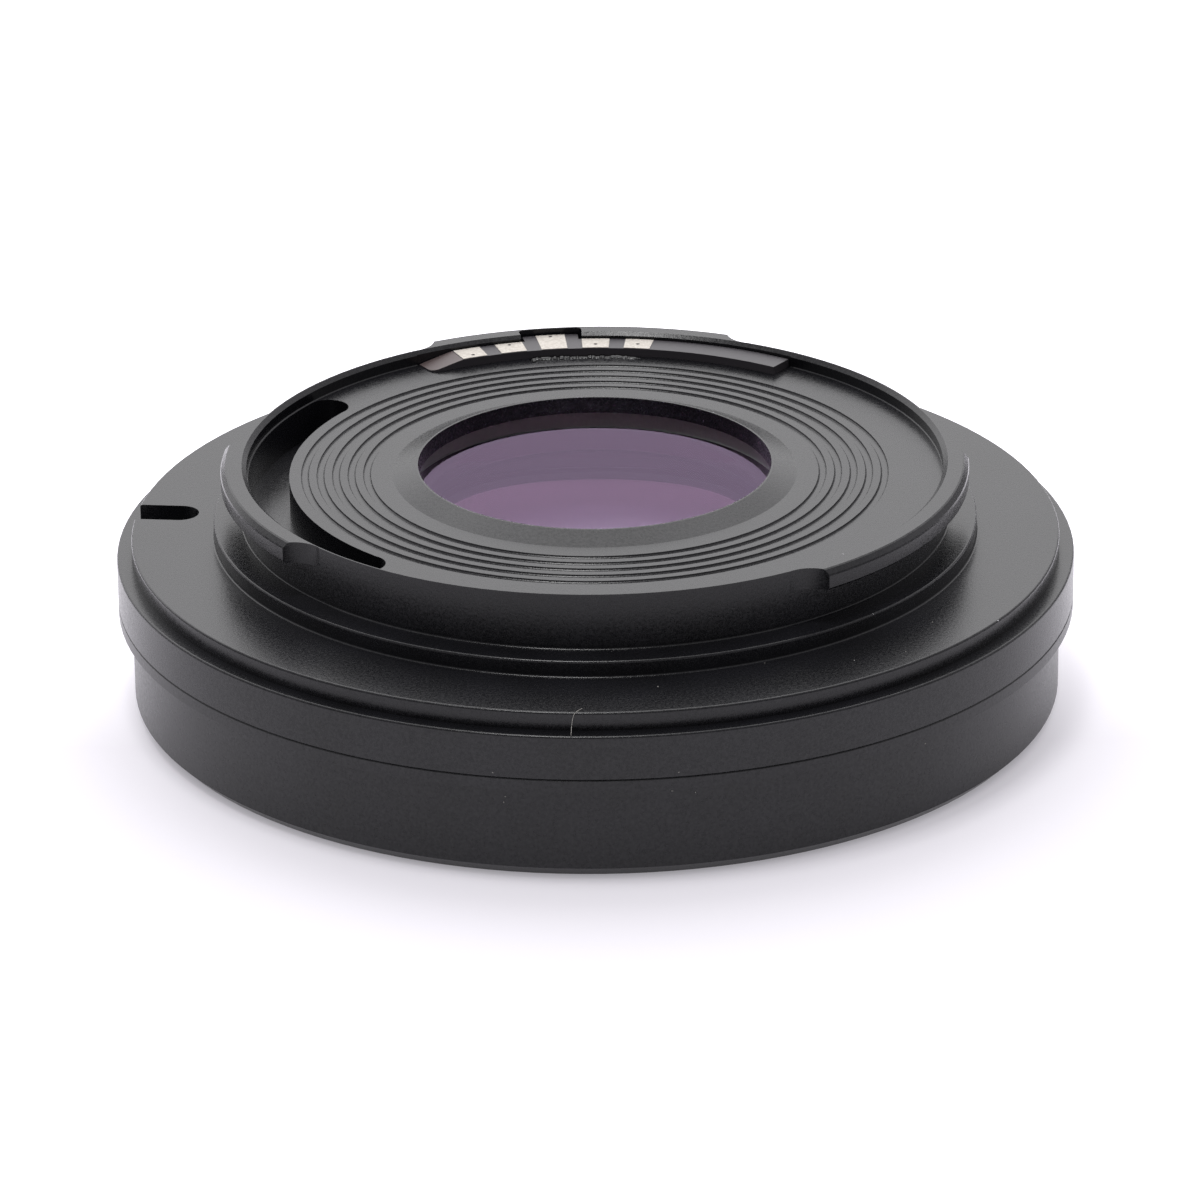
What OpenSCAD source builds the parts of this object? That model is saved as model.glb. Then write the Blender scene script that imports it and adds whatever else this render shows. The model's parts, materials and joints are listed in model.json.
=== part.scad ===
// Camera lens mount adapter with corrective glass.
// It stands on its lens side: z = 0 is the face that a lens seats on, and +Z points at the camera.
// -Y is the front, and angles run anticlockwise from +X, seen from the camera side.

/* [Camera mount ring] */
// Diameter of the widest ring
skirt_d = 63.8; // [60:0.1:70]
// Height of the widest ring above the seam
skirt_h = 3; // [2:0.1:5]
// Width of the ledge round the raised flange that the camera seats on
ledge_w = 1; // [0.6:0.1:2]
// Height of the raised flange above the ledge round it
flange_h = 1.2; // [0.8:0.1:2]
// Rounding of the ledge's and the flange's edges
edge_r = 0.16; // [0.1:0.02:0.4]
// Width of the register collar round the foot of the neck
collar_w = 1.9; // [1.6:0.05:3]
// Height of the register collar
collar_h = 1.1; // [0.6:0.1:2]
// Clear height of the neck between collar and lugs
neck_h = 2.35; // [1.5:0.05:4]
// Rounding of the collar's edge
collar_edge_r = 0.14; // [0.1:0.02:0.4]
// Concave rounding at the feet of the neck and the collar
foot_r = 0.12; // [0.06:0.02:0.3]

/* [Bayonet lugs] */
// Outer diameter over the lugs
lug_d = 49.7; // [48:0.1:52]
// Reach of the lugs beyond the neck
lug_reach = 1.35; // [1.2:0.05:1.6]
// Thickness of the lugs
lug_t = 1.44; // [1.2:0.02:2]
// Distance of the gaps' floor from the neck
gap_margin = 0.02; // [0.01:0.01:0.1]
// Angle where each lug starts
lug_starts = [-53, 68.2, 173.8]; // [-180:0.1:180]
// Arc that each lug covers
lug_arcs = [53, 48.2, 41.8]; // [30:0.1:60]
// Radius of the cutter that mills the gaps
lug_mill_r = 2; // [1.5:0.1:3]
// Rounded bevel on the lugs' upper edges
lug_bevel = 0.42; // [0.2:0.02:0.5]
// Bevel on the lugs' lower edges
lug_under_bevel = 0.2; // [0.1:0.02:0.4]

/* [Baffle] */
// Wall of the neck round the baffle
neck_wall = 0.36; // [0.36:0.02:0.6]
// Width left flat on top of the rim
rim_land = 0.06; // [0.04:0.01:0.1]
// Height of the chamfer inside the rim
rim_chamfer_h = 0.25; // [0.1:0.01:0.4]
// Rounding where the rim's bore meets the baffle
bore_foot_r = 0.06; // [0.04:0.01:0.1]
// Depth of the baffle below the rim
baffle_drop = 0.97; // [0.8:0.01:1.5]
// Least thickness of the web behind the baffle, under the pocket
baffle_web_t = 1; // [0.8:0.1:1.5]
// Number of concentric grooves
groove_count = 5; // [1:1:5]
// Distance of the outer groove from the pocket's inner edge
groove_inset = 1.04; // [0.8:0.01:1.2]
// Distance between grooves
groove_pitch = 1.03; // [0.8:0.01:1.1]
// Width of a groove
groove_w = 0.54; // [0.3:0.02:0.7]
// Depth of a groove
groove_depth = 0.13; // [0.08:0.01:0.3]
// Height of the opening's lip above the baffle
lip_rise = 0.61; // [0.3:0.01:1]
// Width of the cone round the opening
cone_w = 1.7; // [1:0.05:2]
// Width left flat on the opening's lip
lip_land = 0.12; // [0.06:0.02:0.3]
// Height of the opening's wall above the glass
lip_t = 1.13; // [0.8:0.01:2]

/* [Crescent pocket] */
// Width of the pocket along the rim
pocket_w = 2.74; // [2:0.02:3]
// Width of the ledge left between the pocket and the rim's bore
pocket_ledge = 0.1; // [0.08:0.02:0.3]
// Angle of the centre of the pocket's back end
pocket_start = 146.8; // [130:0.1:160]
// Arc between the centres of the pocket's ends
pocket_arc = 79.8; // [40:0.1:90]
// Depth of the pocket below the baffle
pocket_depth = 2.4; // [1.5:0.1:3]

/* [Lock pin slot in the flange] */
// Angle of the slot
slot_angle = 174.5; // [170:0.1:180]
// Width of the slot
slot_w = 2.53; // [2:0.01:3]
// Length of the slot from the flange's edge
slot_l = 4.2; // [3:0.1:4.6]

/* [Contact board] */
// Angle of the middle pad
chip_angle = 97.3; // [95:0.1:100]
// Angle between pads
pad_pitch = 7.65; // [6:0.05:8]
// Arc of a pad
pad_arc = 4.85; // [3:0.05:5.5]
// Depth of the board's seat in the rim's wall
chip_seat = 0.04; // [0.04:0.02:0.2]
// Width of the board
chip_w = 1.85; // [1.6:0.05:2]
// Thickness of the board
chip_t = 0.56; // [0.4:0.02:0.7]
// Arc from the middle pad to the board's square end
chip_right_arc = 42.9; // [35:0.1:50]
// Arc from the middle pad to the top of the sloped end
chip_left_arc = 17.9; // [17.9:0.1:22]
// Arc of the sloped end
chip_slope_arc = 6.3; // [4:0.1:8]
// Thickness left at the foot of the sloped end
chip_slope_foot = 0.06; // [0.04:0.01:0.2]
// Rounding of the sloped end's inner corner
chip_corner_r = 0.6; // [0.2:0.1:0.8]
// Arc of the tab at the middle pad
tab_arc = 9.3; // [7:0.1:11]
// Reach of the tab beyond the board
tab_reach = 0.95; // [0.5:0.05:1.2]
// Rounding of the tab's corners
tab_corner_r = 0.15; // [0.1:0.05:0.3]
// Gap round the board in the rim
chip_gap = 0.08; // [0.04:0.01:0.15]
// Gap round the tab in the rim
tab_gap = 0.24; // [0.1:0.02:0.4]
// Thickness of a contact pad
pad_t = 0.035; // [0.02:0.005:0.1]
// Distance of the pads from the board's long edges
pad_margin = 0.06; // [0.02:0.01:0.2]
// Diameter of the plated hole in a pad
via_d = 0.26; // [0.2:0.02:0.4]
// Distance of each pad's plated hole from the board's inner edge
via_insets = [0.5, 1.45, 2.45, 0.7, 0.85]; // [0.3:0.05:2.5]
// Radius of the glue fillet along the board's foot
glue_r = 0.24; // [0.2:0.02:0.4]
// Arc of the glue fillet
glue_arc = 26; // [10:1:40]

/* [Glass and its cell] */
// Diameter of the two glasses
glass_d = 25.26; // [22:0.02:27]
// Width of the seat that the opening leaves on the glass
glass_seat = 0.88; // [0.6:0.02:1.5]
// Wall of the cell that carries the glass
cell_wall = 1.35; // [1:0.05:2]
// Width of the cell's collar under its seat
cell_collar_w = 1.6; // [1:0.1:2]
// Thickness of the cell's collar
cell_collar_t = 1; // [0.8:0.1:2]
// Length of the cell's thread above its collar
cell_thread_l = 5.4; // [4:0.1:6]
// Thickness of the rear glass
rear_glass_t = 4.5; // [3:0.1:5]
// Distance between the two glasses at their edges
spacer_h = 1; // [0.6:0.1:2]
// Edge thickness of the front glass
front_glass_t = 2; // [1.5:0.1:3]
// Radius of the front glass's curved face
front_glass_curve = 85; // [60:1:200]
// Height of the retaining ring
ring_h = 1.2; // [0.8:0.1:2]
// Width of the spacer and of the retaining ring
ring_w = 1.43; // [1:0.01:2]
// Width of the retaining ring's two spanner slots
spanner_w = 1.4; // [1:0.1:2]
// Depth of the spanner slots
spanner_depth = 0.6; // [0.3:0.1:0.7]
// Wall of the boss that the cell screws into
boss_wall = 1.98; // [1.5:0.02:3]
// Width of the hollow round the boss
hollow_w = 3.4; // [2:0.1:5]

/* [Lens barrel] */
// Step of the barrel's wall in from the widest ring
barrel_step = 0.9; // [0.5:0.05:1.2]
// Height of the barrel up to the seam
barrel_h = 7.2; // [7:0.1:9]
// Height of the lip under the seam
barrel_lip_h = 0.8; // [0.5:0.1:1.5]
// Bevel at the foot of the barrel
barrel_bevel = 0.7; // [0.3:0.05:1]
// Bevel on both sides of the seam
seam_bevel = 0.08; // [0.04:0.01:0.2]
// Width of the barrel's foot round the plate
foot_w = 0.75; // [0.5:0.05:1.2]
// Width of the chamber behind the claws, beyond the throat
chamber_w = 0.3; // [0.2:0.05:0.5]
// Height of the shoulder in the barrel that the spigot's side runs on
spigot_step = 0.2; // [0.1:0.05:0.3]
// Running fit between spigot and barrel
spigot_fit = 0.03; // [0.01:0.01:0.05]
// Wall of the spigot
spigot_wall = 1.2; // [0.8:0.1:1.6]
// Depth of the spigot in the barrel
spigot_h = 1.6; // [1:0.1:2]
// Depth of the camera mount's inner web above the seam
web_recess = 1.4; // [0.8:0.1:2]

/* [Lens mount plate] */
// Width of the plate's ring between the claws
plate_w = 4; // [3.8:0.1:4.6]
// Fit of the plate in the barrel
plate_fit = 0.05; // [0.02:0.01:0.1]
// Thickness of the plate
plate_t = 1.6; // [1.4:0.1:2]
// Reach of the claws into the throat
claw_reach = 1.6; // [1.4:0.1:2]
// Angle of the middle of the first claw
claw_angle = 30; // [20:1:40]
// Arc of a claw
claw_arc = 50; // [40:1:60]
// Number of claws
claw_count = 3; // [3:1:3]
// Distance of a leaf spring from the claw's inner edge
leaf_inset = 0.1; // [0.05:0.05:0.2]
// Thickness of a leaf spring
leaf_t = 0.25; // [0.2:0.01:0.4]
// Width of a leaf spring
leaf_w = 1.3; // [1:0.1:1.5]
// Rise of a leaf spring above its claw
leaf_rise = 0.55; // [0.3:0.05:1]
// Arc of a leaf spring
leaf_arc = 40; // [30:1:46]
// Arc of the foot of a leaf spring
leaf_foot_arc = 9; // [6:1:12]
// Length of the foot beyond the throat
leaf_foot_l = 0.9; // [0.5:0.1:1]

/* [Screws] */
// Distance of the screws and the lock pin from the plate's edge
screw_inset = 1.6; // [1.55:0.05:1.7]
// Screw shank diameter
screw_d = 1.7; // [1.4:0.1:1.8]
// Screw head diameter
screw_head_d = 3; // [2.6:0.1:3.1]
// Angles of the plate screws
plate_screw_angles = [45, 135, 225, 315]; // [0:1:360]
// Angles of the body screws
body_screw_angles = [0, 120, 240]; // [0:1:360]
// Length of a plate screw
plate_screw_l = 4; // [3:0.1:4.4]
// Depth of the body screws in the camera mount
body_screw_grip = 2.6; // [2:0.1:3]
// Gap between a thread and its hole
thread_gap = 0.02; // [0.01:0.01:0.05]
// Gap between the glass and its cell
glass_gap = 0.02; // [0.01:0.01:0.05]
// Distance that a round cutter runs past the arcs it joins
cutter_bite = 0.03; // [0.01:0.01:0.05]

/* [Lens lock] */
// Angle of the lock pin
lock_angle = 90; // [80:1:100]
// Diameter of the lock pin
pin_d = 1.8; // [1.6:0.1:2]
// Travel of the pin out of the plate
pin_travel = 1.2; // [0.8:0.1:1.4]
// Further travel of the pin into the plate
pin_overtravel = 0.3; // [0.1:0.1:0.5]
// Running gap round the pin
pin_gap = 0.05; // [0.03:0.01:0.1]
// Diameter of the pin's shoulder
pin_shoulder_d = 2.6; // [2.4:0.1:2.7]
// Height of the pin's shoulder
pin_shoulder_h = 0.8; // [0.5:0.1:1]
// Diameter of the pin's tail inside the spring
pin_tail_d = 1.2; // [1:0.1:1.3]
// Diameter of the pocket that the pin and spring run in
pin_pocket_d = 2.9; // [2.8:0.05:3]
// Thickness of the release tab's arm
arm_t = 0.7; // [0.5:0.1:1]
// Width of the release tab's arm
arm_w = 2.2; // [1.8:0.1:2.4]
// Width of the release tab's thumb pad
thumb_w = 7; // [5:0.1:9]
// Distance of the thumb pad from the barrel's lip and foot bevel at the ends of its travel
thumb_margin = 0.4; // [0.3:0.05:0.5]
// Thickness of the thumb pad
thumb_t = 0.75; // [0.5:0.05:0.8]
// Number of grip grooves in the thumb pad
grip_count = 4; // [2:1:5]
// Gap between the thumb pad and the barrel's wall
thumb_gap = 0.06; // [0.04:0.01:0.1]
// Gap round the arm in its slot
arm_gap = 0.15; // [0.1:0.05:0.3]
// Wire diameter of the lock spring
wire_d = 0.25; // [0.2:0.01:0.3]
// Turns of the lock spring
spring_turns = 5; // [4:1:6]

/* [Hidden] */
$fn = 180;
eps = 0.01;

// Heights above the lens side
seam_z = barrel_h;
ledge_z = seam_z + skirt_h;
flange_z = ledge_z + flange_h;
collar_z = flange_z + collar_h;
lug_z = collar_z + neck_h;
rim_z = lug_z + lug_t;
baffle_z = rim_z - baffle_drop;
lip_z = baffle_z + lip_rise;
glass_z = lip_z - lip_t;
pocket_z = baffle_z - pocket_depth;
hollow_z = pocket_z - baffle_web_t;
web_z = seam_z + web_recess;
boss_z = glass_z - cell_thread_l;

// Radii of the camera side
skirt_r = skirt_d / 2;
flange_r = skirt_r - ledge_w;
lug_r = lug_d / 2;
neck_r = lug_r - lug_reach;
collar_r = neck_r + collar_w;
rim_r = neck_r - neck_wall;
rim_top_r = neck_r - rim_land;
pocket_r = rim_r - pocket_ledge - pocket_w;
groove_r = pocket_r - groove_inset;

// Radii of the glass and its cell
cell_bore_r = glass_d / 2 + glass_gap;
opening_r = glass_d / 2 - glass_seat;
cone_r = opening_r + cone_w;
cell_r = cell_bore_r + cell_wall;
ring_bore_r = glass_d / 2 - ring_w;
boss_r = cell_r + thread_gap + boss_wall;
hollow_r = boss_r + hollow_w;

// Contact board
chip_seat_r = rim_r + chip_seat;
chip_outer_r = chip_seat_r - chip_gap;
chip_inner_r = chip_outer_r - chip_w;
chip_end = chip_angle - chip_right_arc;
chip_slope_top = chip_angle + chip_left_arc;
chip_z = baffle_z + chip_t;
chip_end_gap = 0.4;
tab_end_gap = 0.6;
tab_r = chip_outer_r + tab_reach;
pad_count = 5;

// Radii of the lens side
wall_r = skirt_r - barrel_step;
plate_r = wall_r - barrel_bevel - foot_w - plate_fit;
throat_r = plate_r - plate_w;
chamber_r = throat_r + chamber_w;
claw_r = throat_r - claw_reach;
spigot_r = chamber_r + spigot_step;
screw_r = plate_r - screw_inset;
head_h = (screw_head_d - screw_d) / 2;
claw_pitch = 360 / claw_count;
// Angles of the gap beside a leaf spring's foot and of the step from foot to arm
leaf_seat_gap = 0.5;
leaf_neck = 0.3;

// Lens lock, measured on the pin's own axis
shoulder_z = plate_t + pin_travel;
arm_z = shoulder_z + pin_shoulder_h;
spring_z = arm_z + arm_t;
tail_z = spring_z + 0.9;
pin_bevel = 0.2;
thumb_z = barrel_bevel + pin_travel + thumb_margin;
thumb_h = seam_z - barrel_lip_h - pin_overtravel - thumb_margin - thumb_z;

// Solid ring segment, turned from angle a by the given arc
module ring_sector(r_in, r_out, a, arc, h)
    rotate([0, 0, a])
        rotate_extrude(angle = arc)
            translate([r_in, 0])
                square([r_out - r_in, h]);

// Curved slot with round ends, between the centres of its ends
module curved_slot(r, w, a, arc, h) {
    ring_sector(r - w / 2, r + w / 2, a, arc, h);
    for (end = [a, a + arc])
        rotate([0, 0, end])
            translate([r, 0, 0])
                cylinder(r = w / 2 + cutter_bite, h = h, $fn = 48);
}

// Points on an arc round (x, y), from angle a to angle b
function arc_points(x, y, r, a, b, steps = 6) =
    [for (i = [0:steps]) let (t = a + (b - a) * i / steps) [x + r * cos(t), y + r * sin(t)]];

// What is outside a convex rounded corner at (x, y) of a turned profile
module rounded_corner(x, y, r)
    polygon(concat([[x + eps, y - r], [x + eps, y + eps], [x - r, y + eps]],
        arc_points(x - r, y - r, r, 90, 0)));

// What fills a concave rounded corner at (x, y) of a turned profile
module filled_corner(x, y, r)
    polygon(concat([[x, y]], arc_points(x + r, y + r, r, 270, 180)));

// Half section of the camera mount's outer steps
module mount_steps() {
    for (step = [[skirt_r, ledge_z], [flange_r, flange_z], [collar_r, collar_z], [neck_r, rim_z]])
        translate([0, web_z])
            square([step[0], step[1] - web_z]);
    translate([chamber_r, seam_z])
        square([skirt_r - chamber_r, web_recess + eps]);
    polygon([
        [0, lug_z], [lug_r - lug_under_bevel, lug_z], [lug_r, lug_z + lug_under_bevel],
        [lug_r, rim_z - lug_bevel], [lug_r - lug_bevel * 0.12, rim_z - lug_bevel * 0.74],
        [lug_r - lug_bevel * 0.74, rim_z - lug_bevel * 0.12], [lug_r - lug_bevel, rim_z], [0, rim_z]
    ]);
    // Spigot that centres the mount in the barrel
    translate([spigot_r - spigot_wall, seam_z - spigot_h])
        square([spigot_wall, spigot_h + web_recess + eps]);
    // Boss for the glass cell
    translate([opening_r, boss_z])
        square([boss_r - opening_r, glass_z - boss_z]);
}

// Half section of everything that is turned out of the camera mount
module mount_cuts() {
    // Recess over the baffle, and the chamfer inside the rim
    polygon([
        [cone_r, baffle_z], [rim_r - bore_foot_r, baffle_z], [rim_r, baffle_z + bore_foot_r],
        [rim_r, rim_z - rim_chamfer_h], [rim_top_r, rim_z], [rim_top_r, rim_z + eps],
        [0, rim_z + eps], [0, lip_z], [opening_r + lip_land, lip_z]
    ]);
    // Opening and the cell's threaded bore
    square([opening_r, rim_z + eps]);
    square([cell_r + thread_gap, glass_z]);
    // Hollow behind the baffle, round and below the boss
    translate([boss_r, 0])
        square([hollow_w, hollow_z]);
    square([boss_r + eps, boss_z]);
    for (i = [0:groove_count - 1])
        translate([groove_r - i * groove_pitch, baffle_z])
            polygon([
                [-groove_w / 2, eps], [-groove_w * 0.4, -groove_depth * 0.7], [-groove_w * 0.3, -groove_depth],
                [groove_w * 0.3, -groove_depth], [groove_w * 0.4, -groove_depth * 0.7], [groove_w / 2, eps]
            ]);
    // Edges
    rounded_corner(skirt_r, ledge_z, edge_r);
    rounded_corner(flange_r, flange_z, edge_r);
    rounded_corner(collar_r, collar_z, collar_edge_r);
    polygon([
        [skirt_r - seam_bevel, seam_z - eps], [skirt_r + eps, seam_z - eps],
        [skirt_r + eps, seam_z + seam_bevel]
    ]);
}

// Gap between two lugs, milled down to the neck with a round cutter, from the lugs' corners at a and b
module lug_gap(a, b) {
    floor_r = neck_r + gap_margin;
    mill_x = floor_r + lug_mill_r - cutter_bite;
    corner = asin(lug_mill_r / mill_x);
    h = lug_t + 2 * eps;
    translate([0, 0, lug_z - eps]) {
        ring_sector(floor_r, lug_d, a + corner, b - a - 2 * corner, h);
        for (end = [a + corner, b - corner])
            rotate([0, 0, end])
                translate([mill_x, 0, 0]) {
                    cylinder(r = lug_mill_r, h = h, $fn = 48);
                    translate([0, -lug_mill_r, 0])
                        cube([lug_r, 2 * lug_mill_r, h]);
                }
    }
}

// Solid ring segment whose outer corners are rounded to radius c
module rounded_sector(r_in, r_out, a, arc, c, h) {
    turn = asin(c / (r_out - c));
    corner_r = r_out - c;
    linear_extrude(h)
        polygon(concat(
            arc_points(0, 0, r_in, a + arc, a),
            arc_points(corner_r * cos(a + turn), corner_r * sin(a + turn), c, a - 90, a + turn),
            arc_points(0, 0, r_out, a + 1.2 * turn, a + arc - 1.2 * turn),
            arc_points(corner_r * cos(a + arc - turn), corner_r * sin(a + arc - turn), c,
                a + arc - turn, a + arc + 90)
        ));
}

module camera_mount() {
    back_end = lug_starts[0] + 360;
    color("#242427") difference() {
        rotate_extrude() {
            difference() {
                mount_steps();
                mount_cuts();
            }
            filled_corner(neck_r, collar_z, foot_r);
            filled_corner(collar_r, flange_z, foot_r);
        }
        lug_gap(lug_starts[0] + lug_arcs[0], lug_starts[1]);
        lug_gap(lug_starts[1] + lug_arcs[1], lug_starts[2]);
        lug_gap(lug_starts[2] + lug_arcs[2], back_end);
        translate([0, 0, pocket_z])
            curved_slot(pocket_r + pocket_w / 2, pocket_w, pocket_start, pocket_arc,
                pocket_depth + baffle_drop + eps);
        // Slot for the camera's lock pin
        rotate([0, 0, slot_angle])
            translate([flange_r - slot_l + slot_w / 2, 0, ledge_z]) {
                cylinder(d = slot_w, h = flange_h + eps, $fn = 48);
                translate([0, -slot_w / 2, 0])
                    cube([skirt_r, slot_w, flange_h + eps]);
            }
        // Seat of the contact board and its tab in the rim
        translate([0, 0, baffle_z])
            ring_sector(chip_inner_r, chip_seat_r, chip_end - chip_end_gap,
                chip_right_arc + chip_left_arc + chip_slope_arc + 2 * chip_end_gap, baffle_drop + eps);
        translate([0, 0, baffle_z])
            rounded_sector(chip_inner_r, tab_r + tab_gap, chip_angle - tab_arc / 2 - tab_end_gap,
                tab_arc + 2 * tab_end_gap, tab_corner_r + tab_gap, baffle_drop + eps);
        // Blind threads for the body screws
        for (a = body_screw_angles)
            rotate([0, 0, a])
                translate([screw_r, 0, seam_z - eps])
                    cylinder(d = screw_d + 2 * thread_gap, h = body_screw_grip + 0.2, $fn = 32);
    }
}

module chip_board() {
    slope = atan((chip_t - chip_slope_foot) / (chip_outer_r * sin(chip_slope_arc)));
    color("#1b1b1d") translate([0, 0, baffle_z]) {
        difference() {
            ring_sector(chip_inner_r, chip_outer_r, chip_end,
                chip_right_arc + chip_left_arc + chip_slope_arc, chip_t);
            // Sloped end
            rotate([0, 0, chip_slope_top])
                translate([chip_inner_r - chip_w / 2, 0, chip_t])
                    rotate([-slope, 0, 0])
                        cube([2 * chip_w, chip_outer_r, chip_t]);
            rotate([0, 0, chip_slope_top + chip_slope_arc])
                translate([0, 0, -eps])
                    linear_extrude(chip_t)
                        mirror([1, 0])
                            rounded_corner(-chip_inner_r, 0, chip_corner_r);
        }
        rounded_sector(chip_outer_r - 0.1, tab_r, chip_angle - tab_arc / 2, tab_arc, tab_corner_r, chip_t);
    }
}

// Contact pad number i, of which the middle one runs out over the tab
module contact_pad(i) {
    middle = (pad_count + 1) / 2;
    a = chip_angle + (middle - i) * pad_pitch;
    r_out = (i == middle ? tab_r : chip_outer_r) - pad_margin;
    color("#e9e5dc")
        translate([0, 0, chip_z])
            difference() {
                ring_sector(chip_inner_r + pad_margin, r_out, a - pad_arc / 2, pad_arc, pad_t);
                rotate([0, 0, a])
                    translate([chip_inner_r + via_insets[i - 1], 0, -eps])
                        cylinder(d = via_d, h = pad_t + 2 * eps, $fn = 24);
            }
}

module chip_adhesive() color("#0c0c0d")
    rotate([0, 0, chip_angle - glue_arc * 0.7])
        rotate_extrude(angle = glue_arc)
            translate([chip_inner_r, baffle_z])
                intersection() {
                    circle(glue_r, $fn = 32);
                    translate([-glue_r, 0])
                        square(glue_r);
                }

// Plain round glass, from z down
module glass_disc(z, t)
    translate([0, 0, z - t])
        cylinder(d = glass_d, h = t);

module rear_element() color("#8d7bb0", 0.4)
    glass_disc(glass_z, rear_glass_t);

module element_spacer() color("#2a2a2c")
    translate([0, 0, glass_z - rear_glass_t - spacer_h])
        difference() {
            cylinder(d = glass_d, h = spacer_h);
            translate([0, 0, -eps])
                cylinder(r = ring_bore_r, h = spacer_h + 2 * eps);
        }

// Flat towards the camera and on its edge, domed towards the lens inside the retaining ring
module front_element() {
    top_z = glass_z - rear_glass_t - spacer_h;
    dome_r = ring_bore_r - 0.1;
    sag = front_glass_curve - sqrt(pow(front_glass_curve, 2) - pow(dome_r, 2));
    color("#8d7bb0", 0.4) {
        glass_disc(top_z, front_glass_t);
        intersection() {
            translate([0, 0, top_z - front_glass_t - sag])
                cylinder(r = dome_r, h = sag + eps);
            translate([0, 0, top_z - front_glass_t - sag + front_glass_curve])
                sphere(front_glass_curve);
        }
    }
}

module cell_retaining_ring() {
    z = glass_z - rear_glass_t - spacer_h - front_glass_t - ring_h;
    color("#2a2a2c")
        translate([0, 0, z])
            difference() {
                cylinder(d = glass_d, h = ring_h);
                translate([0, 0, -eps])
                    cylinder(r = ring_bore_r, h = ring_h + 2 * eps);
                translate([-glass_d / 2, -spanner_w / 2, -eps])
                    cube([glass_d, spanner_w, spanner_depth + eps]);
            }
}

module lens_cell() {
    length = rear_glass_t + spacer_h + front_glass_t + ring_h;
    color("#2a2a2c")
        translate([0, 0, glass_z - length])
            difference() {
                union() {
                    cylinder(r = cell_r, h = length);
                    translate([0, 0, length - cell_thread_l - cell_collar_t])
                        cylinder(r = cell_r + cell_collar_w, h = cell_collar_t);
                }
                translate([0, 0, -eps])
                    cylinder(r = cell_bore_r, h = length + 2 * eps);
            }
}

module lens_barrel() color("#222225")
    difference() {
        rotate_extrude()
            difference() {
                union() {
                    polygon([
                        [chamber_r, 0], [wall_r - barrel_bevel, 0], [wall_r, barrel_bevel],
                        [wall_r, seam_z], [chamber_r, seam_z]
                    ]);
                    translate([wall_r - barrel_step, seam_z - barrel_lip_h])
                        square([skirt_r - wall_r + barrel_step, barrel_lip_h]);
                }
                // Recess for the plate
                square([plate_r + plate_fit, plate_t]);
                // Seat of the spigot
                translate([0, seam_z - spigot_h])
                    square([spigot_r + spigot_fit, spigot_h + eps]);
                polygon([
                    [skirt_r - seam_bevel, seam_z + eps], [skirt_r + eps, seam_z + eps],
                    [skirt_r + eps, seam_z - seam_bevel]
                ]);
            }
        for (a = plate_screw_angles)
            rotate([0, 0, a])
                translate([screw_r, 0, plate_t - eps])
                    cylinder(d = screw_d + 2 * thread_gap, h = plate_screw_l - plate_t + 0.2, $fn = 32);
        for (a = body_screw_angles)
            rotate([0, 0, a])
                translate([screw_r, 0, plate_t])
                    screw_hole(seam_z);
        // Seats for the feet of the leaf springs
        for (i = [0:claw_count - 1])
            translate([0, 0, plate_t - eps])
                ring_sector(claw_r, throat_r + leaf_foot_l + leaf_inset,
                    claw_angle + i * claw_pitch - leaf_foot_arc / 2 - leaf_seat_gap,
                    leaf_foot_arc + 2 * leaf_seat_gap, leaf_t + eps);
        rotate([0, 0, lock_angle])
            lock_room();
    }

// Countersunk through hole for a screw
module screw_hole(h) {
    translate([0, 0, -eps])
        cylinder(d = screw_d + 2 * thread_gap, h = h, $fn = 32);
    countersink(thread_gap);
}

// Cone of a countersunk head, grown by gap
module countersink(gap)
    translate([0, 0, -eps])
        cylinder(r1 = screw_head_d / 2 + gap + eps, r2 = screw_d / 2 + gap, h = head_h + eps, $fn = 32);

// Space in the barrel for the pin, its spring and the release tab's arm
module lock_room() {
    low = arm_z - pin_travel - arm_gap;
    high = spring_z + pin_overtravel + arm_gap;
    translate([screw_r, 0, plate_t - eps])
        cylinder(d = pin_pocket_d, h = seam_z, $fn = 48);
    translate([screw_r, -arm_w / 2 - arm_gap, low])
        cube([wall_r, arm_w + 2 * arm_gap, high - low]);
}

// Plain plate with three claws, before its holes
module plate_blank() {
    difference() {
        cylinder(r = plate_r, h = plate_t);
        translate([0, 0, -eps])
            cylinder(r = throat_r, h = plate_t + 2 * eps);
    }
    for (i = [0:claw_count - 1])
        ring_sector(claw_r, throat_r + chamber_w, claw_angle + i * claw_pitch - claw_arc / 2,
            claw_arc, plate_t);
}

module lens_mount_plate() color("#2b2b2e")
    difference() {
        plate_blank();
        for (a = plate_screw_angles)
            rotate([0, 0, a])
                translate([screw_r, 0, 0])
                    screw_hole(plate_t + 2 * eps);
        rotate([0, 0, lock_angle])
            translate([screw_r, 0, -eps])
                cylinder(d = pin_d + 2 * pin_gap, h = plate_t + 2 * eps, $fn = 48);
    }

// Height of a leaf spring at a share u of its arm, from foot to tip
function leaf_lift(u) = leaf_rise * pow(sin(180 * u), 2);

// One cross-section of a leaf spring at angle a from its middle
function leaf_section(a) =
    let (
        foot = leaf_foot_arc / 2,
        u = max(0, (abs(a) - foot) / (leaf_arc / 2 - foot)),
        r_out = abs(a) <= foot ? throat_r + leaf_foot_l : claw_r + leaf_inset + leaf_w,
        z = plate_t + leaf_lift(u)
    )
    [for (p = [[claw_r + leaf_inset, z], [r_out, z], [r_out, z + leaf_t], [claw_r + leaf_inset, z + leaf_t]])
        [p[0] * cos(a), p[0] * sin(a), p[1]]];

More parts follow.
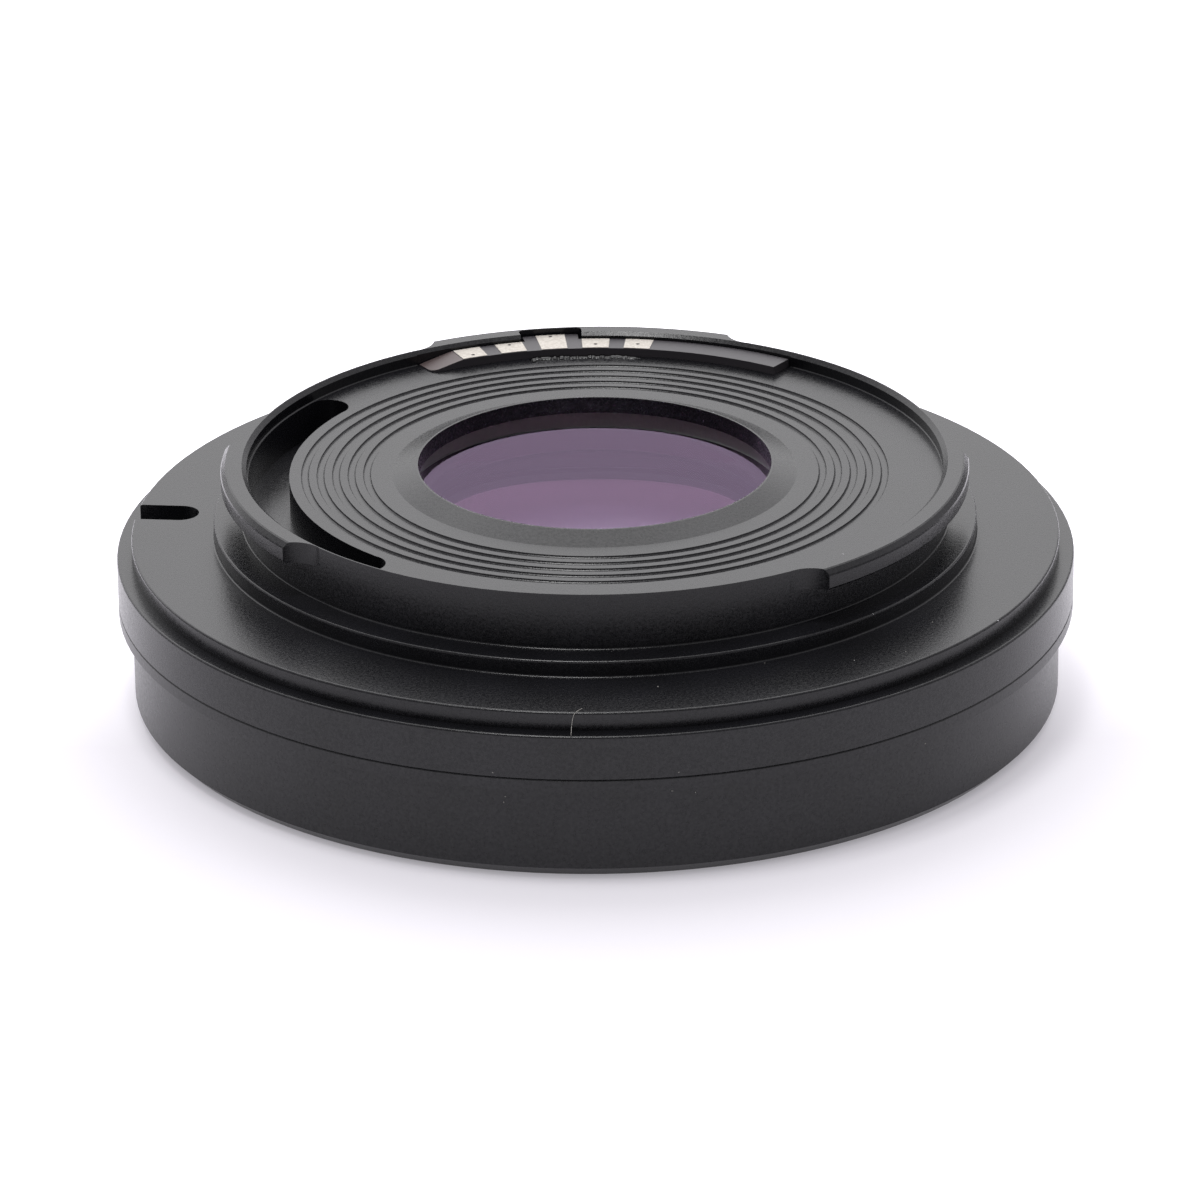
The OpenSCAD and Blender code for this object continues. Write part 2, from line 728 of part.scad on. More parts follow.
// Closed skin over sections of n points each
function skin_faces(rings, n) = concat(
    [[for (j = [0:n - 1]) n - 1 - j]],
    [[for (j = [0:n - 1]) (rings - 1) * n + j]],
    [for (i = [0:rings - 2], j = [0:n - 1])
        let (k = (j + 1) % n)
        each [[i * n + j, i * n + k, (i + 1) * n + k], [i * n + j, (i + 1) * n + k, (i + 1) * n + j]]]
);

module bayonet_spring(i) {
    foot = leaf_foot_arc / 2;
    tip = leaf_arc / 2;
    arm_steps = 12;
    arm_start = foot + leaf_neck;
    arm = [for (k = [0:arm_steps]) arm_start + (tip - arm_start) * k / arm_steps];
    stations = concat(
        [for (k = [0:arm_steps]) -arm[arm_steps - k]],
        [-foot, 0, foot],
        arm
    );
    color("#b9bcc0")
        rotate([0, 0, claw_angle + (i - 1) * claw_pitch])
            polyhedron(
                points = [for (a = stations) each leaf_section(a)],
                faces = skin_faces(len(stations), 4)
            );
}

// Countersunk screw with a cross recess, head down at z = 0
module screw(l) {
    slot_w = 0.32;
    slot_l = screw_head_d * 0.6;
    difference() {
        union() {
            cylinder(r1 = screw_head_d / 2, r2 = screw_d / 2, h = head_h, $fn = 32);
            cylinder(d = screw_d, h = l, $fn = 32);
        }
        for (turn = [0, 90])
            rotate([0, 0, turn])
                translate([-slot_l / 2, -slot_w / 2, -eps])
                    cube([slot_l, slot_w, head_h * 0.6]);
    }
}

module plate_screws() color("#3a3a3d")
    for (a = plate_screw_angles)
        rotate([0, 0, a])
            translate([screw_r, 0, 0])
                screw(plate_screw_l);

module body_screws() color("#3a3a3d")
    for (a = body_screw_angles)
        rotate([0, 0, a])
            translate([screw_r, 0, plate_t])
                screw(seam_z + body_screw_grip - plate_t);

module lock_pin() color("#c4c6c9")
    rotate([0, 0, lock_angle])
        translate([screw_r, 0, 0])
            rotate_extrude($fn = 48)
                polygon([
                    [0, 0], [pin_d / 2 - pin_bevel, 0], [pin_d / 2, pin_bevel], [pin_d / 2, shoulder_z],
                    [pin_shoulder_d / 2, shoulder_z], [pin_shoulder_d / 2, arm_z],
                    [pin_tail_d / 2, arm_z], [pin_tail_d / 2, tail_z], [0, tail_z]
                ]);

module release_tab() {
    inner = wall_r + thumb_gap;
    color("#1f1f21")
        rotate([0, 0, lock_angle])
            difference() {
                union() {
                    // Eye on the pin's tail, and the arm through the wall
                    translate([screw_r, 0, arm_z])
                        cylinder(d = pin_shoulder_d, h = arm_t, $fn = 48);
                    translate([screw_r, -arm_w / 2, arm_z])
                        cube([inner - screw_r + 0.3, arm_w, arm_t]);
                    // Thumb pad, curved round the barrel
                    intersection() {
                        translate([0, 0, thumb_z])
                            difference() {
                                cylinder(r = inner + thumb_t, h = thumb_h);
                                translate([0, 0, -eps])
                                    cylinder(r = inner, h = thumb_h + 2 * eps);
                            }
                        translate([0, -thumb_w / 2, thumb_z])
                            cube([skirt_r, thumb_w, thumb_h]);
                    }
                }
                translate([screw_r, 0, arm_z - eps])
                    cylinder(d = pin_tail_d, h = arm_t + 2 * eps, $fn = 48);
                // Grip grooves across the pad
                for (k = [1:grip_count])
                    translate([0, 0, thumb_z + k * thumb_h / (grip_count + 1)])
                        rotate_extrude()
                            polygon([
                                [inner + thumb_t - 0.2, 0], [inner + thumb_t + eps, -0.2],
                                [inner + thumb_t + eps, 0.2]
                            ]);
            }
}

// Coil spring, with close turns at both ends
module lock_spring() {
    wire_sides = 8;
    turn_steps = 16;
    coil_r = pin_tail_d / 2 + 0.1 + wire_d / 2;
    length = seam_z - spring_z - wire_d;
    steps = spring_turns * turn_steps;
    end_rise = 1.1 * wire_d;
    function rise(turn) = lookup(turn, [
        [0, 0], [1, end_rise], [spring_turns - 1, length - end_rise], [spring_turns, length]
    ]);
    points = [for (i = [0:steps], j = [0:wire_sides - 1])
        let (
            a = 360 * i / turn_steps,
            b = 360 * j / wire_sides,
            r = coil_r + wire_d / 2 * cos(b)
        )
        [r * cos(a), r * sin(a), rise(i / turn_steps) + wire_d / 2 * (1 - sin(b))]];
    color("#b9bcc0")
        rotate([0, 0, lock_angle])
            translate([screw_r, 0, spring_z])
                polyhedron(points = points, faces = skin_faces(steps + 1, wire_sides));
}

camera_mount();
chip_board();
contact_pad(1);  // contact_pad_1
contact_pad(2);  // contact_pad_2
contact_pad(3);  // contact_pad_3
contact_pad(4);  // contact_pad_4
contact_pad(5);  // contact_pad_5
chip_adhesive();
rear_element();
element_spacer();
front_element();
cell_retaining_ring();
lens_cell();
lens_barrel();
lens_mount_plate();
bayonet_spring(1);  // bayonet_spring_1
bayonet_spring(2);  // bayonet_spring_2
bayonet_spring(3);  // bayonet_spring_3
plate_screws();
body_screws();
lock_pin();
release_tab();
lock_spring();
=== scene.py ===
"""Camera lens mount adapter with corrective glass, on a pale studio floor."""

import json
import math
import random

import bmesh
import bpy
from mathutils import Matrix, Vector


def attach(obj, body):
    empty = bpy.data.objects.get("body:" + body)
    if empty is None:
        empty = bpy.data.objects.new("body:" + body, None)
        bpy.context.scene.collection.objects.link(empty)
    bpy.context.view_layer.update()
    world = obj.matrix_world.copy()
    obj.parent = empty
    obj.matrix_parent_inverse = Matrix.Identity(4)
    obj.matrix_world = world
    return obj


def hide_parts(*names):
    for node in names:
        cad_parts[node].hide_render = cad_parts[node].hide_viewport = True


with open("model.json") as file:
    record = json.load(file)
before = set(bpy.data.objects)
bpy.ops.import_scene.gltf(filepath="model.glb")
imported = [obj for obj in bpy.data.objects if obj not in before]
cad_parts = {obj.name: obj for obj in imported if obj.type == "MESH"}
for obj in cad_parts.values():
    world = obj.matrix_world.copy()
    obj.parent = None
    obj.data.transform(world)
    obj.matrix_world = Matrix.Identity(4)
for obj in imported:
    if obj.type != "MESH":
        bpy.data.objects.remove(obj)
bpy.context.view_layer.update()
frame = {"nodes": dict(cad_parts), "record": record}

MM = 0.001
NODES = frame["nodes"]
RANDOM = random.Random(7)

# Heights above the table in mm, as in the CAD model
SEAM_Z, LEDGE_Z, FLANGE_Z, COLLAR_Z, BAFFLE_Z, RIM_Z = 7.2, 10.2, 11.4, 12.5, 15.32, 16.29
# Radii in mm
FOOT_R, WALL_R, SKIRT_R = 30.3, 31.0, 31.9
GLASS_Z, REAR_CURVE = 14.8, 110


def polar(radius, angle, height):
    """A point at a radius and height in mm and an angle in degrees, in metres."""
    turn = math.radians(angle)
    return Vector((radius * math.cos(turn), radius * math.sin(turn), height)) * MM


def linear(hex_colour):
    """An sRGB hex colour as the linear RGBA that a shader takes."""
    channels = [int(hex_colour[i:i + 2], 16) / 255 for i in (1, 3, 5)]
    return [c / 12.92 if c <= 0.04045 else ((c + 0.055) / 1.055) ** 2.4 for c in channels] + [1]


# Materials

def add(tree, kind, links=None, settings=None, **sockets):
    """Adds a shader node: settings go on the node, sockets and links on its inputs by name."""
    made = tree.nodes.new("ShaderNode" + kind)
    for name, value in (settings or {}).items():
        setattr(made, name, value)
    for name, value in sockets.items():
        made.inputs[name.replace("_", " ")].default_value = value
    for name, output in (links or {}).items():
        tree.links.new(output, made.inputs[name])
    return made


def new_material(name):
    """An empty node material and its tree, with the object's coordinates in metres."""
    material = bpy.data.materials.new(name)
    material.use_nodes = True
    tree = material.node_tree
    tree.nodes.clear()
    place = add(tree, "TexCoord").outputs["Object"]
    return material, tree, place


def per_metre(size_mm):
    """Texture scale at which one feature is size_mm across."""
    return 1 / (size_mm * MM)


def surface(tree, shader):
    add(tree, "OutputMaterial", {"Surface": shader.outputs[0]})


def mix_shaders(tree, share, first, second):
    """The first shader where the share is 0 and the second where it is 1."""
    mix = add(tree, "MixShader", {"Fac": share})
    tree.links.new(first.outputs[0], mix.inputs[1])
    tree.links.new(second.outputs[0], mix.inputs[2])
    return mix


def grain(tree, place, size_mm, depth_mm, detail=2.0):
    """Fine random relief, and its height for other uses."""
    noise = add(tree, "TexNoise", {"Vector": place}, Scale=per_metre(size_mm), Detail=detail)
    bump = add(tree, "Bump", {"Height": noise.outputs["Fac"]}, Strength=1.0, Distance=depth_mm * MM)
    return bump.outputs["Normal"], noise.outputs["Fac"]


def ramp(tree, factor, low, high, at=(0.35, 0.65)):
    """Two colours blended over part of a factor's range."""
    blend = add(tree, "ValToRGB", {"Fac": factor})
    for stop, position, colour in zip(blend.color_ramp.elements, at, (low, high)):
        stop.position = position
        stop.color = linear(colour)
    return blend.outputs["Color"]


def anodised(name, low, high, roughness, grit_mm, depth_mm):
    """Black anodised aluminium. The oxide is a clear hard skin over dyed pores, so the black is soft
    and the gloss is that of a clear coat. The blasted grain breaks the gloss up into a fine sparkle,
    drawn a little coarser than it is so that it shows at the photograph's scale."""
    material, tree, place = new_material(name)
    normal, height = grain(tree, place, grit_mm, depth_mm)
    patches = add(tree, "TexNoise", {"Vector": place}, Scale=per_metre(6), Detail=3.0)
    colour = ramp(tree, patches.outputs["Fac"], low, high)
    spread = add(tree, "MapRange", {"Value": height}, From_Min=0.3, From_Max=0.7,
                 To_Min=roughness - 0.05, To_Max=roughness + 0.05)
    gloss = add(tree, "MapRange", {"Value": height}, From_Min=0.3, From_Max=0.7, To_Min=0.42, To_Max=0.58)
    metal = add(tree, "BsdfPrincipled",
                {"Base Color": colour, "Roughness": spread.outputs["Result"], "Normal": normal,
                 "Specular IOR Level": gloss.outputs["Result"]}, IOR=1.46)
    surface(tree, metal)
    return material


def solder_mask():
    """Glass-fibre board under black solder mask. Its sloped end is ground through the mask, down to
    the brown-grey laminate."""
    material, tree, place = new_material("black_solder_mask")
    normal, _ = grain(tree, place, 0.25, 0.002)
    facing = add(tree, "NewGeometry").outputs["Normal"]
    upward = add(tree, "SeparateXYZ", {"Vector": facing}).outputs["Z"]
    level = add(tree, "Math", {0: upward}, {"operation": "GREATER_THAN"})
    level.inputs[1].default_value = 0.995
    tilted = add(tree, "Math", {0: upward}, {"operation": "GREATER_THAN"})
    tilted.inputs[1].default_value = 0.5
    ground = add(tree, "Math", {0: tilted.outputs[0], 1: level.outputs[0]}, {"operation": "SUBTRACT"})
    colour = add(tree, "Mix", {"Factor": ground.outputs[0]}, {"data_type": "RGBA"})
    # The mask is drawn mid-grey rather than black: painted sheen, for the brighter reflection that the board's
    # top takes from the wall behind.
    colour.inputs["A"].default_value = linear("#3d3a3e")
    colour.inputs["B"].default_value = linear("#584c4b")
    board = add(tree, "BsdfPrincipled", {"Base Color": colour.outputs["Result"], "Normal": normal},
                Roughness=0.4, IOR=1.5)
    surface(tree, board)
    return material


def plated_contact():
    """Contact pads with a pale, slightly mottled plating."""
    material, tree, place = new_material("pale_plated_contact")
    normal, height = grain(tree, place, 0.16, 0.002)
    colour = ramp(tree, height, "#b9b3aa", "#cec9c1")
    pad = add(tree, "BsdfPrincipled", {"Base Color": colour, "Normal": normal},
              Metallic=0.55, Roughness=0.5)
    surface(tree, pad)
    return material


def set_adhesive():
    """Black cyanoacrylate run along the board's foot, set glossy and lumpy, so it glints in points."""
    material, tree, place = new_material("glossy_black_adhesive")
    normal, _ = grain(tree, place, 0.3, 0.04, 1.0)
    glue = add(tree, "BsdfPrincipled", {"Normal": normal}, Roughness=0.04, IOR=1.5)
    glue.inputs["Base Color"].default_value = linear("#0c0c0d")
    surface(tree, glue)
    return material


def coated_glass(name, outer_coat, inner_coat):
    """Optical glass with a multilayer coating, whose colour is all that it reflects: purple on the near
    face, and pinker from within on the far one. Its edge is ground, and shows grey-green through the
    glass. Light passes straight through it to what lies below."""
    material, tree, _ = new_material(name)
    geometry = add(tree, "NewGeometry")
    through = add(tree, "BsdfRefraction", Roughness=0.0, IOR=1.52)
    through.inputs["Color"].default_value = linear("#f7f5fa")
    tint = add(tree, "Mix", {"Factor": geometry.outputs["Backfacing"]}, {"data_type": "RGBA"})
    tint.inputs["A"].default_value = linear(outer_coat)
    tint.inputs["B"].default_value = linear(inner_coat)
    coating = add(tree, "BsdfGlossy", {"Color": tint.outputs["Result"]}, Roughness=0.0)
    share = add(tree, "Fresnel", IOR=1.52)
    polished = mix_shaders(tree, share.outputs[0], through, coating)
    ground = add(tree, "BsdfDiffuse", Roughness=0.5)
    ground.inputs["Color"].default_value = linear("#a6b4a8")
    upward = add(tree, "SeparateXYZ", {"Vector": geometry.outputs["Normal"]}).outputs["Z"]
    steep = add(tree, "Math", {0: upward}, {"operation": "ABSOLUTE"})
    face = add(tree, "Math", {0: steep.outputs[0]}, {"operation": "GREATER_THAN"})
    face.inputs[1].default_value = 0.9
    seen = mix_shaders(tree, face.outputs[0], ground, polished)
    shadow = add(tree, "LightPath").outputs["Is Shadow Ray"]
    surface(tree, mix_shaders(tree, shadow, seen, add(tree, "BsdfTransparent")))
    return material


def spring_steel():
    """Cold-rolled spring steel: bright, with fine drawing lines that run as a stretched grain."""
    material, tree, place = new_material("bright_spring_steel")
    along = add(tree, "Mapping", {"Vector": place})
    along.inputs["Scale"].default_value = (1, 1, 12)
    normal, height = grain(tree, along.outputs["Vector"], 0.4, 0.002)
    colour = ramp(tree, height, "#a8abb0", "#c9cbcf")
    steel = add(tree, "BsdfPrincipled", {"Base Color": colour, "Normal": normal},
                Metallic=1.0, Roughness=0.28)
    surface(tree, steel)
    return material


def blackened_steel():
    """Screws with a black oxide finish, rubbed brighter on the high grain."""
    material, tree, place = new_material("black_oxide_screw")
    normal, height = grain(tree, place, 0.2, 0.004)
    colour = ramp(tree, height, "#2a2a2c", "#4a4a4d")
    steel = add(tree, "BsdfPrincipled", {"Base Color": colour, "Normal": normal},
                Metallic=0.8, Roughness=0.4)
    surface(tree, steel)
    return material


def dust_fleck():
    """Dust and lint: pale, dry and matt."""
    material, tree, place = new_material("pale_dust")
    normal, height = grain(tree, place, 0.05, 0.01)
    colour = ramp(tree, height, "#8e8c88", "#bdbab4")
    dust = add(tree, "BsdfPrincipled", {"Base Color": colour, "Normal": normal}, Roughness=0.9)
    surface(tree, dust)
    return material


def bare_aluminium():
    """Bare metal where an edge is nicked through the anodising."""
    material, tree, place = new_material("bare_aluminium")
    normal, height = grain(tree, place, 0.06, 0.01)
    colour = ramp(tree, height, "#a9a9ab", "#dcdcde")
    metal = add(tree, "BsdfPrincipled", {"Base Color": colour, "Normal": normal},
                Metallic=1.0, Roughness=0.4)
    surface(tree, metal)
    return material


def finish_nodes():
    """Gives each carried-over CAD node its material."""
    blasted = anodised("black_anodised_satin_blast", "#111114", "#17171b", 0.28, 0.2, 0.006)
    turned = anodised("black_anodised_satin_turned", "#111114", "#17171b", 0.31, 0.22, 0.007)
    plate = anodised("black_anodised_plate", "#141415", "#1b1b1c", 0.34, 0.14, 0.004)
    matt = anodised("matt_black_anodised", "#0b0b0c", "#101011", 0.55, 0.16, 0.004)
    by_slot = {
        "anodised_body": blasted, "anodised_barrel": turned, "mount_plate": plate,
        "matt_black": matt, "board": solder_mask(), "pad_metal": plated_contact(),
        "glue": set_adhesive(), "coated_glass": coated_glass("plum_coated_glass", "#463a50", "#463a50"),
        "spring_steel": spring_steel(),
        "black_screw": blackened_steel(),
    }
    for part in frame["record"]["subparts"]:
        for holder in NODES[part["node"]].material_slots:
            holder.material = by_slot[part["material_slot"]]


# Small pieces and marks that the photograph shows

# Dust: angle in degrees, radius and height in mm, lean of the surface (90 faces up, 0 faces out), size
DUST = [
    (-81.84, 27.17, FLANGE_Z, 90, 0.14), (-38.15, 27.53, FLANGE_Z, 90, 0.12),
    (-54.62, 28.29, FLANGE_Z, 90, 0.12), (-47.81, 29.34, FLANGE_Z, 90, 0.10),
    (-65.43, 25.68, FLANGE_Z, 90, 0.12), (-101.88, SKIRT_R - 0.015, 7.52, 0, 0.12),
    (-80.81, SKIRT_R - 0.015, 7.55, 0, 0.12), (-81.32, WALL_R, 5.89, 0, 0.14), (-78.57, WALL_R, 5.66, 0, 0.10),
    (-100.79, WALL_R, 5.52, 0, 0.10), (-101.0, WALL_R, 5.13, 0, 0.12), (-47.47, WALL_R, 5.47, 0, 0.12),
]
# Nicks through the anodising, in the same form
NICKS = [
    (-45.5, 25.36, COLLAR_Z - 0.04, 45, 0.12), (-32.9, 30.84, FLANGE_Z - 0.05, 45, 0.14),
    (-111.1, 23.48, RIM_Z - 0.03, 40, 0.08), (-102.0, 23.48, RIM_Z - 0.04, 40, 0.10),
    (-94.9, 23.48, RIM_Z - 0.03, 40, 0.08), (-89.6, 23.48, RIM_Z - 0.03, 40, 0.07),
    (-71.7, 23.48, RIM_Z - 0.03, 40, 0.09), (-63.5, 23.48, RIM_Z - 0.03, 40, 0.08),
    (47.1, 11.82, 15.93, 90, 0.12),
]


def add_piece(name, mesh, material):
    """Puts a new piece on the adapter's body, with its material."""
    for face in mesh.polygons:
        face.use_smooth = True
    mesh.materials.append(material)
    piece = bpy.data.objects.new(name, mesh)
    bpy.context.scene.collection.objects.link(piece)
    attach(piece, "adapter")
    return piece


def flecks(name, places):
    """Irregular low crumbs, each sunk a little into the surface that it sits on."""
    mesh = bpy.data.meshes.new(name)
    shape = bmesh.new()
    for angle, radius, height, lean, size in places:
        centre, tip = polar(radius, angle, height), math.radians(lean)
        outward = polar(1, angle, 0).normalized()
        along = Vector((-outward.y, outward.x, 0))
        normal = outward * math.cos(tip) + Vector((0, 0, 1)) * math.sin(tip)
        across = normal.cross(along)
        rings = []
        for reach, lift in ((1.0, -0.1), (0.6, 0.14)):
            ring = []
            for k in range(7):
                turn = math.tau * k / 7
                spread = size * MM / 2 * reach * RANDOM.uniform(0.6, 1.25)
                ring.append(shape.verts.new(centre + spread * (math.cos(turn) * along + math.sin(turn) * across)
                                            + normal * lift * size * MM))
            rings.append(ring)
        top = shape.verts.new(centre + normal * 0.2 * size * MM)
        for k in range(7):
            after = (k + 1) % 7
            shape.faces.new((rings[0][k], rings[0][after], rings[1][after], rings[1][k]))
            shape.faces.new((rings[1][k], rings[1][after], top))
        shape.faces.new(reversed(rings[0]))
    shape.to_mesh(mesh)
    shape.free()
    return mesh


def strand(name, path, radii, sides=10):
    """A round strand along points in metres, with a radius in mm at each."""
    mesh = bpy.data.meshes.new(name)
    shape = bmesh.new()
    rings = []
    for k, (point, radius) in enumerate(zip(path, radii)):
        along = (path[min(k + 1, len(path) - 1)] - path[max(k - 1, 0)]).normalized()
        side = along.cross(Vector((0, 0, 1))).normalized()
        up = side.cross(along)
        rings.append([shape.verts.new(point + radius * MM * (math.cos(math.tau * j / sides) * side
                                                             + math.sin(math.tau * j / sides) * up))
                      for j in range(sides)])
    for low, high in zip(rings, rings[1:]):
        for j in range(sides):
            after = (j + 1) % sides
            shape.faces.new((low[j], low[after], high[after], high[j]))
    shape.faces.new(reversed(rings[0]))
    shape.faces.new(rings[-1])
    shape.to_mesh(mesh)
    shape.free()
    return mesh


def smooth_path(points, steps):
    """Points in mm joined by a smooth curve, in metres."""
    knots = [Vector(p) * MM for p in points]
    knots = [2 * knots[0] - knots[1]] + knots + [2 * knots[-1] - knots[-2]]
    path = []
    for a, b, c, d in zip(knots, knots[1:], knots[2:], knots[3:]):
        for k in range(steps):
            t = k / steps
            path.append(0.5 * (2 * b + (c - a) * t + (2 * a - 5 * b + 4 * c - d) * t ** 2
                               + (3 * b - a - 3 * c + d) * t ** 3))
    return path + [knots[-2]]


def add_rear_lens():
    """The rear glass as the lens that it is: flat above, hollow below inside a flat seat, with bevels."""
    top_r, bevel, seat, thick, curve, rings, sides = 12.63, 0.12, 0.43, 4.5, REAR_CURVE, 12, 128
    hollow = math.sqrt(curve ** 2 - (top_r - seat) ** 2)
    profile = [(top_r - bevel, GLASS_Z), (top_r, GLASS_Z - bevel), (top_r, GLASS_Z - thick + bevel),
               (top_r - bevel, GLASS_Z - thick), (top_r - seat, GLASS_Z - thick)]
    for k in range(1, rings):
        radius = (top_r - seat) * (1 - k / rings)
        profile.append((radius, GLASS_Z - thick + math.sqrt(curve ** 2 - radius ** 2) - hollow))
    mesh = bpy.data.meshes.new("rear_lens")
    shape = bmesh.new()
    turns = [360 * j / sides for j in range(sides)]
    circles = [[shape.verts.new(polar(r, turn, z)) for turn in turns] for r, z in profile]
    for upper, lower in zip(circles, circles[1:]):
        for j in range(sides):
            after = (j + 1) % sides
            shape.faces.new((upper[j], lower[j], lower[after], upper[after]))
    shape.faces.new(circles[0])
    crown = shape.verts.new(polar(0, 0, GLASS_Z - thick + curve - hollow))
    for j in range(sides):
        shape.faces.new((circles[-1][j], crown, circles[-1][(j + 1) % sides]))
    shape.to_mesh(mesh)
    shape.free()
    lens = add_piece("rear_lens", mesh, coated_glass("purple_coated_glass", "#c9b2d4", "#a97c9a"))
    for face in mesh.polygons:
        face.use_smooth = -1 < face.normal.z < -0.9
    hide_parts("rear_element")


def add_adhesive():
    """The glue that was run along the board's foot: a bead of uneven lumps, and one drop beside it."""
    foot_r, sunk, first, last, steps = 20.95, 0.3, 79, 104.5, 260
    path, radii, swell = [], [], 0.46
    for k in range(steps + 1):
        share = k / steps
        swell += RANDOM.uniform(-0.035, 0.035)
        swell = min(max(swell, 0.38), 0.48)
        ends = min(1, 8 * share, 8 * (1 - share))
        path.append(polar(foot_r, first + (last - first) * share, BAFFLE_Z - sunk))
        radii.append(0.03 + swell * ends)
    glue = set_adhesive()
    bead = add_piece("adhesive_bead", strand("adhesive_bead", path, radii), glue)
    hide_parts("chip_adhesive")
    drop = [polar(20.55, 101.6 + 0.09 * k, BAFFLE_Z) for k in range(-5, 6)]
    radii = [0.13 * math.sqrt(max(0.02, 1 - (k / 5) ** 2)) for k in range(-5, 6)]
    add_piece("adhesive_drop", strand("adhesive_drop", drop, radii), glue)


def add_marks():
    """The dust, the lint, the nicks and the scratch that the photograph shows on the part."""
    dust, metal = dust_fleck(), bare_aluminium()
    add_piece("dust", flecks("dust", DUST), dust)
    add_piece("edge_nicks", flecks("edge_nicks", NICKS), metal)
    lint = smooth_path([(-0.92, -30.21, 11.42), (-1.2, -30.6, 11.42), (-1.42, -30.9, 11.34),
                        (-1.51, -30.95, 11.1), (-1.59, -31.26, 10.68), (-1.63, -31.88, 10.31)], 8)
    add_piece("lint", strand("lint", lint, [0.018] * len(lint), 6), dust)
    ends = polar(23.28, -47.54, RIM_Z - 0.023), polar(23.91, -45.99, RIM_Z - 0.023)
    scratch = [ends[0].lerp(ends[1], k / 6) for k in range(7)]
    add_piece("scratch", strand("scratch", scratch, [0.006, 0.018, 0.02, 0.02, 0.02, 0.015, 0.006], 6),
              metal)


# Studio

def floor_material():
    """White paper. The camera and reflections see it bright through a glow, and it still takes the soft shadow.
    The glow fades out towards the part's foot, a painted shadow under and around it. Behind the part the glow
    rises over white, a painted light for what the part's flats reflect, and in front it is dimmer."""
    material, tree, place = new_material("white_paper_floor")
    light = add(tree, "LightPath")
    seen = add(tree, "Math", {0: light.outputs["Is Camera Ray"], 1: light.outputs["Is Glossy Ray"]},
               {"operation": "MAXIMUM"})
    seen = add(tree, "Math", {0: seen.outputs[0], 1: light.outputs["Is Transmission Ray"]},
               {"operation": "MAXIMUM"})
    paper = add(tree, "BsdfDiffuse")
    paper.inputs["Color"].default_value = linear("#e9e8ea")
    shaded = add(tree, "BsdfDiffuse")
    shaded.inputs["Color"].default_value = linear("#d4d2d7")
    away = add(tree, "VectorMath", {0: place}, {"operation": "LENGTH"})
    # Painted shadow: the glow fades to nothing under and just around the part's foot.
    painted_foot_shadow = add(tree, "MapRange", {"Value": away.outputs["Value"]},
                        From_Min=0.9 * FOOT_R * MM, From_Max=1.03 * FOOT_R * MM)
    # Painted light: the glow dims in front of the part and rises behind it, beyond white, for the reflections
    # in the part's flats.
    behind = add(tree, "SeparateXYZ", {"Vector": place}).outputs["Y"]
    painted_glow_behind = add(tree, "MapRange", {"Value": behind}, From_Min=-0.01, From_Max=0.05,
                     To_Min=0.37, To_Max=1.4)
    strength = add(tree, "Math", {0: painted_foot_shadow.outputs["Result"], 1: painted_glow_behind.outputs["Result"]},
                   {"operation": "MULTIPLY"})
    glow = add(tree, "Emission", {"Strength": strength.outputs[0]})
    glow.inputs["Color"].default_value = linear("#fbf8ff")
    bright = add(tree, "AddShader")
    tree.links.new(shaded.outputs[0], bright.inputs[0])
    tree.links.new(glow.outputs[0], bright.inputs[1])
    surface(tree, mix_shaders(tree, seen.outputs[0], paper, bright))
    return material


def add_floor():
    mesh = bpy.data.meshes.new("floor")
    half = 0.5
    mesh.from_pydata([(-half, -half, 0), (half, -half, 0), (half, half, 0), (-half, half, 0)], [],
                     [(0, 1, 2, 3)])
    floor = bpy.data.objects.new("floor", mesh)
    floor.location.z = -0.00005
    mesh.materials.append(floor_material())
    bpy.context.scene.collection.objects.link(floor)


def add_softbox(name, place, aim, width, height, radiance):
    """A rectangular soft light: its size in metres, and the brightness of its face, where 1 is white."""
    light = bpy.data.lights.new(name, "AREA")
    light.shape = "RECTANGLE"
    light.size, light.size_y = width, height
    light.energy = radiance * math.pi * width * height
    lamp = bpy.data.objects.new(name, light)
    lamp.location = place
    lamp.rotation_euler = (Vector(aim) - Vector(place)).to_track_quat("-Z", "Y").to_euler()
    bpy.context.scene.collection.objects.link(lamp)


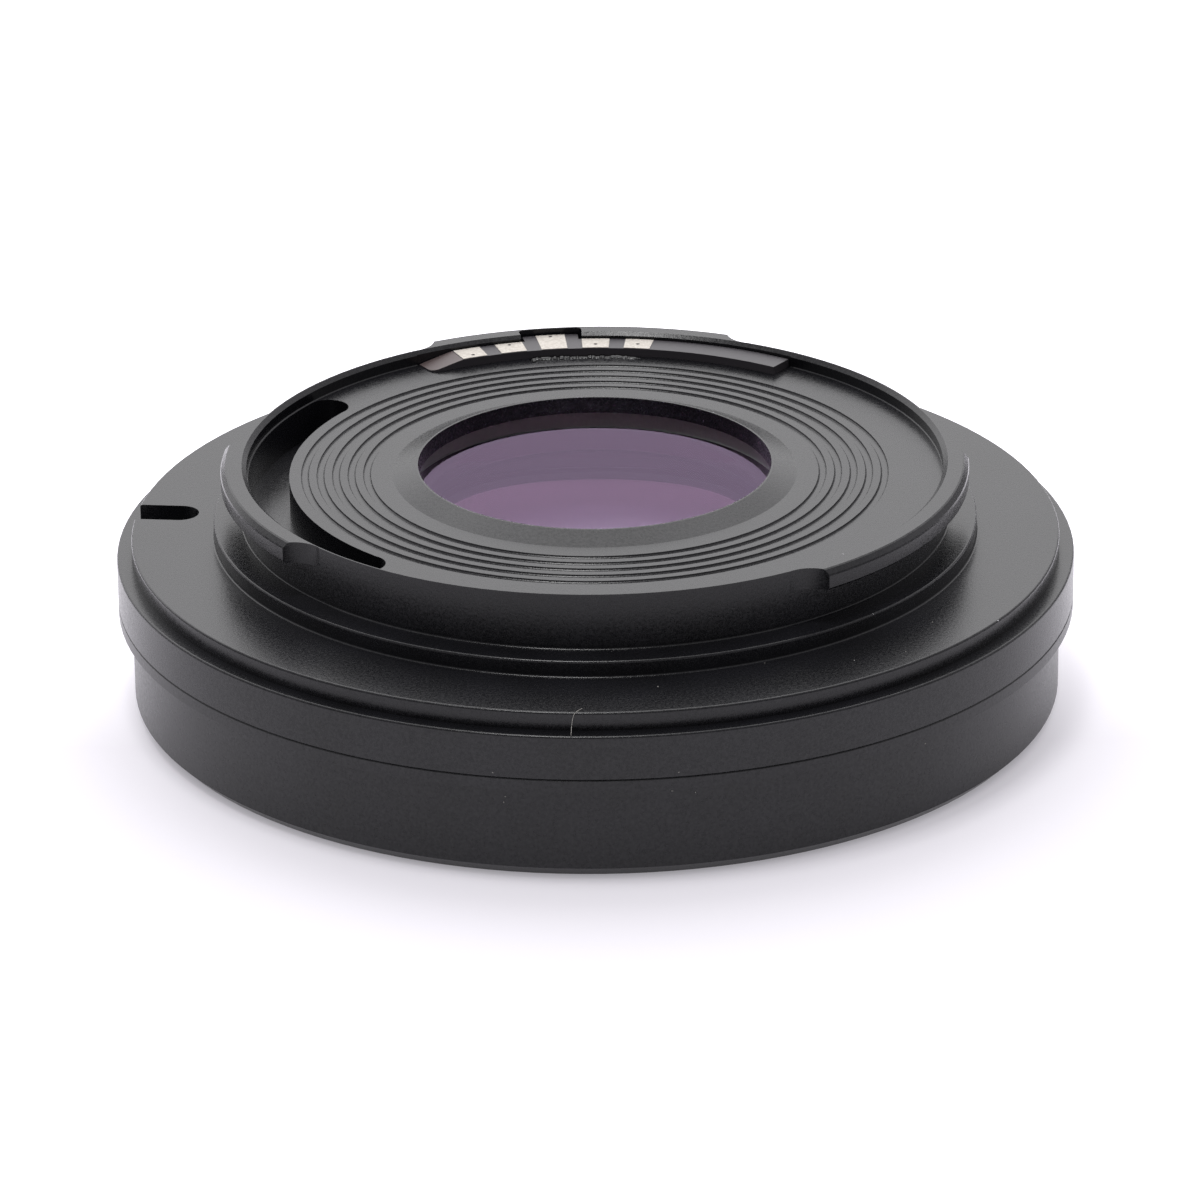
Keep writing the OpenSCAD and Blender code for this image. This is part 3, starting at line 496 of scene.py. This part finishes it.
def light_studio():
    """A light tent, dim towards its floor, with a white wall behind the part, a soft box above it and a
    small lamp overhead that draws the edges."""
    world = bpy.data.worlds.new("light_tent")
    bpy.context.scene.world = world
    world.use_nodes = True
    tree = world.node_tree
    tree.nodes.clear()
    seen = add(tree, "LightPath").outputs["Is Camera Ray"]
    way = add(tree, "SeparateXYZ", {"Vector": add(tree, "TexCoord").outputs["Generated"]})
    raised = add(tree, "MapRange", {"Value": way.outputs["Z"]}, From_Min=0.05, From_Max=0.4,
                 To_Min=0.3, To_Max=1.0)
    behind = add(tree, "MapRange", {"Value": way.outputs["Y"]}, From_Min=-0.5, From_Max=0.4,
                 To_Min=0.4, To_Max=0.8)
    tent = add(tree, "Math", {0: raised.outputs["Result"], 1: behind.outputs["Result"]},
               {"operation": "MULTIPLY"})
    strength = add(tree, "Mix", {"Factor": seen, "A": tent.outputs[0]}, {"data_type": "FLOAT"})
    strength.inputs["B"].default_value = 1.0
    light = add(tree, "Background", {"Strength": strength.outputs["Result"]})
    light.inputs["Color"].default_value = linear("#fdfbff")
    add(tree, "OutputWorld", {"Surface": light.outputs[0]})
    add_softbox("softbox_back", (-0.25, 1.3, 0.7), (0, 0, 0), 2.0, 1.2, 1.03)
    add_softbox("softbox_top", (0.0, 0.5, 0.88), (0, 0, 0), 0.8, 0.6, 1.8)
    add_softbox("lamp_overhead", (-0.1, -0.08, 1.0), (0, 0, 0), 0.24, 0.24, 17.0)


def add_camera():
    """The photograph's view: the lens, place and tilt found by fitting ellipses to its round edges."""
    view = bpy.data.cameras.new("camera")
    view.lens = 198.6
    view.sensor_width = 36
    view.clip_start = 0.01
    camera = bpy.data.objects.new("camera", view)
    pitch, yaw, roll = (math.radians(a) for a in (23.047, -0.038, -0.498))
    turn = (Matrix.Rotation(yaw, 4, "Z") @ Matrix.Rotation(math.pi / 2 - pitch, 4, "X")
            @ Matrix.Rotation(roll, 4, "Z"))
    camera.matrix_world = Matrix.Translation((0, -0.40833, 0.17964)) @ turn
    bpy.context.scene.collection.objects.link(camera)
    bpy.context.scene.camera = camera


finish_nodes()
add_rear_lens()
add_adhesive()
add_marks()
add_floor()
light_studio()
add_camera()
bpy.context.scene.view_settings.view_transform = "Standard"
